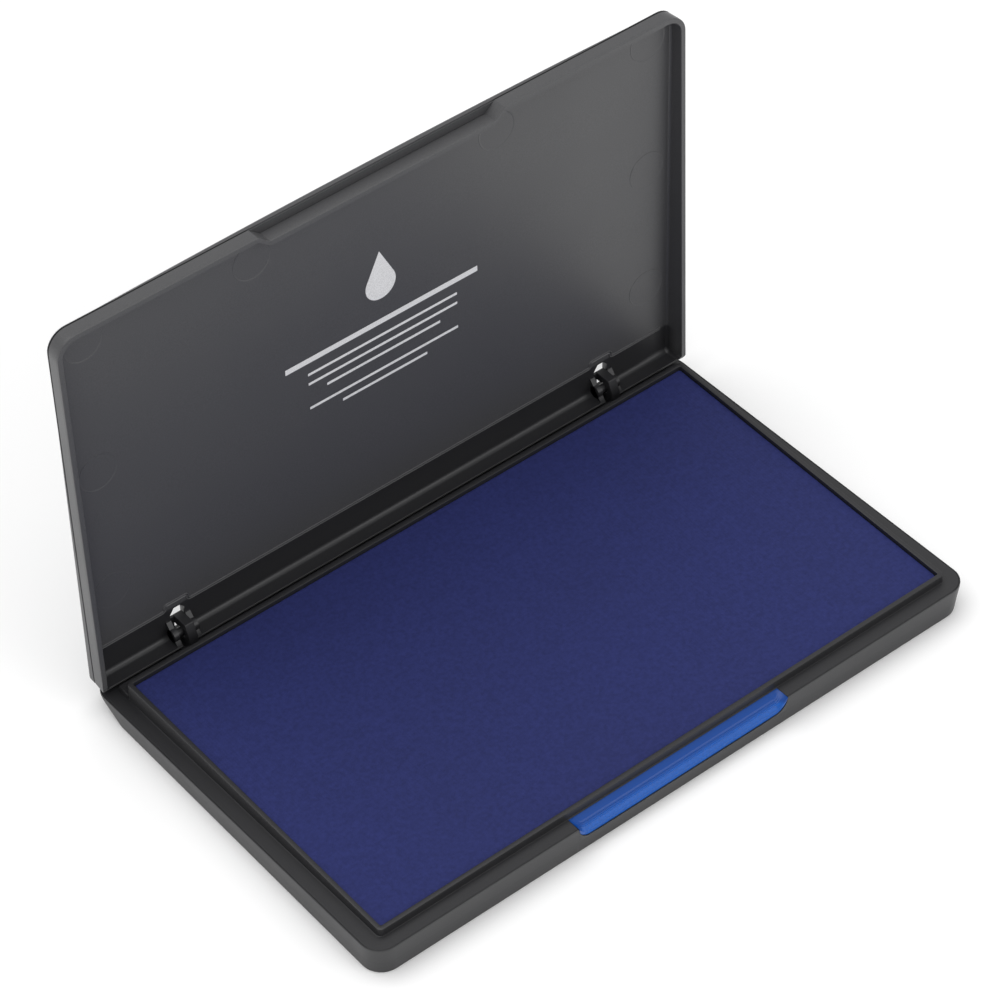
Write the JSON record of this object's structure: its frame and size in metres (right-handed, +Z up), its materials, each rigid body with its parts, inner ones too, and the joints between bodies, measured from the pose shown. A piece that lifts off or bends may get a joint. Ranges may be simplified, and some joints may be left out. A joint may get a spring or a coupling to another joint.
{
  "type": "ink pad",
  "caption": "Office ink pad: flat black plastic case with an inked cloth pad, a blue thumb scoop at the front edge and a full-width lid hinged at the back, shown open.",
  "frame": {"origin": "centre of the pad in plan, on the flat underside the case rests on", "axes": "+X along the hinge to the right, +Y from the front edge to the hinge, +Z up"},
  "size_m": [0.1708, 0.1072, 0.1105],
  "materials": {
    "case_plastic": "satin black moulded plastic",
    "frame_plastic": "satin black moulded plastic",
    "insert_plastic": "glossy blue moulded plastic",
    "backing": "plain stiff sheet",
    "felt": "dense felt soaked with blue ink",
    "cloth": "fine woven cloth wet with blue ink",
    "lid_plastic": "satin black moulded plastic"
  },
  "bodies": {
    "base": {"base_shell": "case_plastic", "pad_frame": "frame_plastic", "colour_insert": "insert_plastic", "backing_sheet": "backing", "ink_felt": "felt", "cover_cloth": "cloth"},
    "lid": {"lid_shell": "lid_plastic"}
  },
  "joints": [
    {"name": "lid_hinge", "type": "hinge", "parent": "base", "child": "lid", "pos_m": [0, 0.0519, 0.00885], "axis": [1, 0, 0], "range_deg": [0, 90]}
  ]
}
